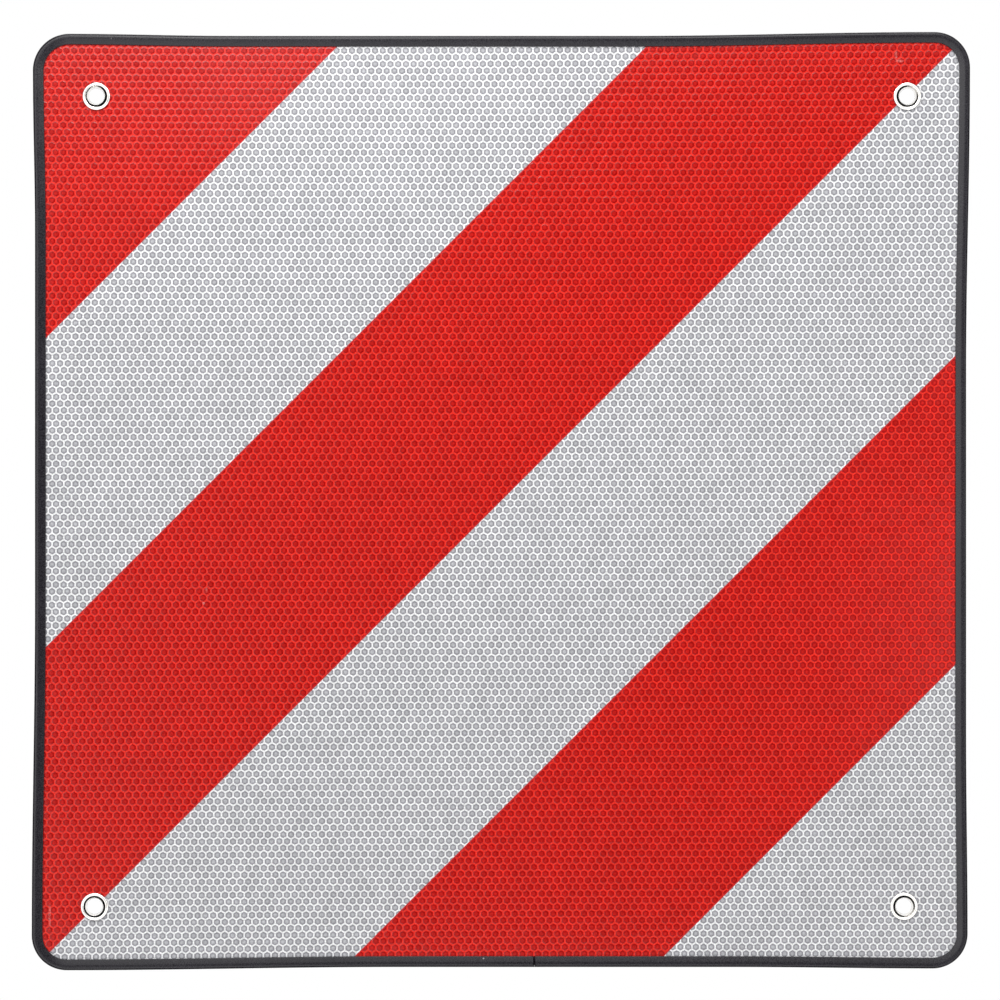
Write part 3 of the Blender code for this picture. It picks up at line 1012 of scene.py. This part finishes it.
# %% [markdown]
# ## Light
#
# The sign hangs in a pale studio, bright enough for each colour to come out about as it is written. Its
# parts are named by their angle from straight ahead of the sign's face:
#
# - Round the camera it is dark. A glossy sign seen squarely mirrors whatever is there, and a bright wall
#   would wash out the red. The dark part lies a little to the right, which is what the trim's left leg
#   mirrors. That leg stays black, and the other three turn grey.
# - Further out a bright ring lights the colours, and the eyelets' flanges mirror it.
# - Low down beside the sign it is dark again, for the black ring in each eyelet's mouth.
# - Behind the sign it is white.
# - A soft box above the camera lights the outer edge of the trim along the top.
#
# A world shader can do this with the direction of each ray. Camera rays, and rays through glass, see
# plain white; a reflection that looks behind the sign sees the same white.

# %% Studio
DARK_CENTRE = (10, 0)  # degrees to the right of and above straight ahead
DARK_INNER = 14
DARK_OUTER = 26
DARK_LEVEL = 0.01
SIDE_LEVEL = 1.58
SIDE_TO = 48
HORIZON_LEVEL = 0.003
HORIZON_FROM = 57
HORIZON_TO = 120
BACKDROP_FROM = 132
SOFTBOX_UP = 48  # degrees above straight ahead
SOFTBOX_LEVEL = 3.8
SOFTBOX_INNER = 10
SOFTBOX_OUTER = 17


def build_studio():
    """The world's light, by the direction that a ray looks in."""
    world = bpy.data.worlds.new("studio")
    bpy.context.scene.world = world
    world.use_nodes = True
    tree = world.node_tree
    tree.nodes.clear()
    ray = add_node(tree, "ShaderNodeTexCoord").outputs["Generated"]

    def round_about(right_deg, up_deg, inner_deg, outer_deg, inside, outside):
        """One value near a direction, another far from it, and a smooth change between two angles."""
        right, up = math.radians(right_deg), math.radians(up_deg)
        towards = (math.sin(right) * math.cos(up), -math.cos(right) * math.cos(up), math.sin(up))
        facing = add_vector_math(tree, "DOT_PRODUCT", ray, towards)
        far, near = math.cos(math.radians(outer_deg)), math.cos(math.radians(inner_deg))
        return spread(tree, facing, outside, inside, far, near, "SMOOTHSTEP")

    room = round_about(*DARK_CENTRE, DARK_INNER, DARK_OUTER, DARK_LEVEL, SIDE_LEVEL)
    side = round_about(0, 0, SIDE_TO, HORIZON_FROM, 1.0, HORIZON_LEVEL)
    behind = round_about(0, 0, HORIZON_TO, BACKDROP_FROM, 0.0, 1.0)
    softbox = round_about(0, SOFTBOX_UP, SOFTBOX_INNER, SOFTBOX_OUTER, SOFTBOX_LEVEL, 0.0)
    level = add_math(tree, "MAXIMUM", add_math(tree, "MULTIPLY", room, side), softbox)
    grey = add_node(tree, "ShaderNodeCombineColor", {"Red": level, "Green": level, "Blue": level})
    studio = add_node(tree, "ShaderNodeBackground", {"Color": grey.outputs["Color"]})
    white = add_node(tree, "ShaderNodeBackground", {"Color": paint("#ffffff"), "Strength": 1.0})
    path = add_node(tree, "ShaderNodeLightPath").outputs
    direct = add_math(tree, "MAXIMUM", path["Is Camera Ray"], path["Is Transmission Ray"])
    shown = add_math(tree, "MAXIMUM", direct, behind)
    mix = {0: shown, 1: studio.outputs["Background"], 2: white.outputs["Background"]}
    both = add_node(tree, "ShaderNodeMixShader", mix)
    add_node(tree, "ShaderNodeOutputWorld", {"Surface": both.outputs["Shader"]})


build_studio()
print("studio: dark ahead within", DARK_INNER, "degrees, white behind")

# %% [markdown]
# ## Lamps
#
# The key lamp hangs before the sign, above the camera's line of sight, and makes the top a little
# brighter than the bottom. The rear lamp lights the floor and the bare back. The others are there for
# their reflections: the flat film in the top left corner mirrors a dim screen, and the slopes of the
# seams that face up mirror a brighter lamp just above it, which draws a pale zigzag along every row
# there. A strip veils the film's right-hand edge, and three narrow ones light the trim's flat along the
# top, the right and the bottom.
#
# The place of such a lamp follows from similar triangles: a point of the film, seen from the camera at
# distance D, mirrors what lies at (1 + L / D) times its own place, L in front of the film.

# %% Lamps
FLOOR_HEIGHT = -0.60
KEY_RADIANCE = 3.2
REAR_RADIANCE = 2.4
SCREENS = {  # left, right, bottom and top of what mirrors it; how far in front it is; its radiance
    "corner_screen": (-0.16, -0.02, 0.19, 0.26, 0.4, 0.5),
    "corner_lamp": (-0.27, -0.02, 0.283, 0.351, 0.4, 4.2),
    "edge_strip": (0.212, 0.28, -0.17, 0.0, 1.2, 0.6),
    "top_rim_strip": (-0.25, 0.25, 0.253, 0.272, 0.4, 1.0),
    "right_rim_strip": (0.251, 0.27, -0.25, 0.25, 0.4, 1.0),
    "bottom_rim_strip": (-0.25, 0.25, -0.27, -0.251, 0.4, 0.8),
}


def add_lamp(name, place, size, radiance, aim=(0, 0, 0)):
    """A rectangular soft lamp. A radiance of 1 is as bright as a white card in full light."""
    data = bpy.data.lights.new(name, "AREA")
    data.shape = "RECTANGLE"
    data.size, data.size_y = size
    data.energy = radiance * math.pi * size[0] * size[1]
    lamp = bpy.data.objects.new(name, data)
    lamp.location = place
    lamp.rotation_euler = (Vector(aim) - Vector(place)).to_track_quat("-Z", "Y").to_euler()
    lamp.visible_camera = False  # it is there for its light and its reflection
    bpy.context.scene.collection.objects.link(lamp)


def mirrored(film_x, film_z, distance):
    """Where a lamp stands, at a distance in front, to be mirrored by a point of the film."""
    stretch = 1 + distance / CAMERA_DISTANCE
    return Vector((film_x * stretch, -distance, film_z * stretch))


def add_screen(name, left, right, bottom, top, distance, radiance):
    """A lamp facing straight back, that the given part of the film's plane mirrors."""
    low, high = mirrored(left, bottom, distance), mirrored(right, top, distance)
    middle = (low + high) / 2
    add_lamp(name, middle, (high.x - low.x, high.z - low.z), radiance, (middle.x, 0, middle.z))


add_lamp("key_lamp", (0, -0.8, 0.6), (0.6, 0.2), KEY_RADIANCE)
add_lamp("rear_lamp", (0, 1.0, 1.5), (1.6, 1.2), REAR_RADIANCE, (0, 0.7, FLOOR_HEIGHT))
for name, screen in SCREENS.items():
    add_screen(name, *screen)

# %% [markdown]
# ## The floor
#
# A plain pale floor below the sign keeps its soft shadow for the views from above. It fades out at its
# rim, where it meets the white around it, and it isn't there for an eye below it.

# %% Floor
FLOOR_RADIUS = 2.3
FLOOR_FADE = 0.5  # where it starts to fade, as a share of its radius
MOTTLE_SIZE = 1 / 6  # patches of about 17 cm


def build_floor():
    bm = bmesh.new()
    bmesh.ops.create_circle(bm, cap_ends=True, segments=96, radius=FLOOR_RADIUS)
    floor = put_in_scene("floor", bm)
    floor.location.z = FLOOR_HEIGHT
    floor.visible_glossy = False  # the eyelets' mouths mirror the dark studio, and not the floor
    finish, tree, shader, place = new_finish("pale_painted_floor")
    colour = blended(tree, noise(tree, place, MOTTLE_SIZE, 2.0), paint("#f0f0ef"), paint("#f4f4f3"))
    feed(tree, shader, {"Base Color": colour, "Roughness": 0.8})
    away = add_vector_math(tree, "LENGTH", place)
    faded = spread(tree, away, 0, 1, FLOOR_FADE * FLOOR_RADIUS, FLOOR_RADIUS, "SMOOTHSTEP")
    from_below = add_node(tree, "ShaderNodeNewGeometry").outputs["Backfacing"]
    gone = add_math(tree, "MAXIMUM", from_below, faded)
    clear = add_node(tree, "ShaderNodeBsdfTransparent")
    mix = {0: gone, 1: shader.outputs["BSDF"], 2: clear.outputs["BSDF"]}
    both = add_node(tree, "ShaderNodeMixShader", mix)
    feed(tree, tree.nodes["Material Output"], {"Surface": both.outputs["Shader"]})
    floor.data.materials.append(finish)


build_floor()
print("floor:", FLOOR_HEIGHT, "m")

# %% [markdown]
# ## Bring the scene up to date
#
# The dressed sign is meant to stay inside the measured one. Here the scene's placements are brought up
# to date.

# %% Update
bpy.context.view_layer.update()
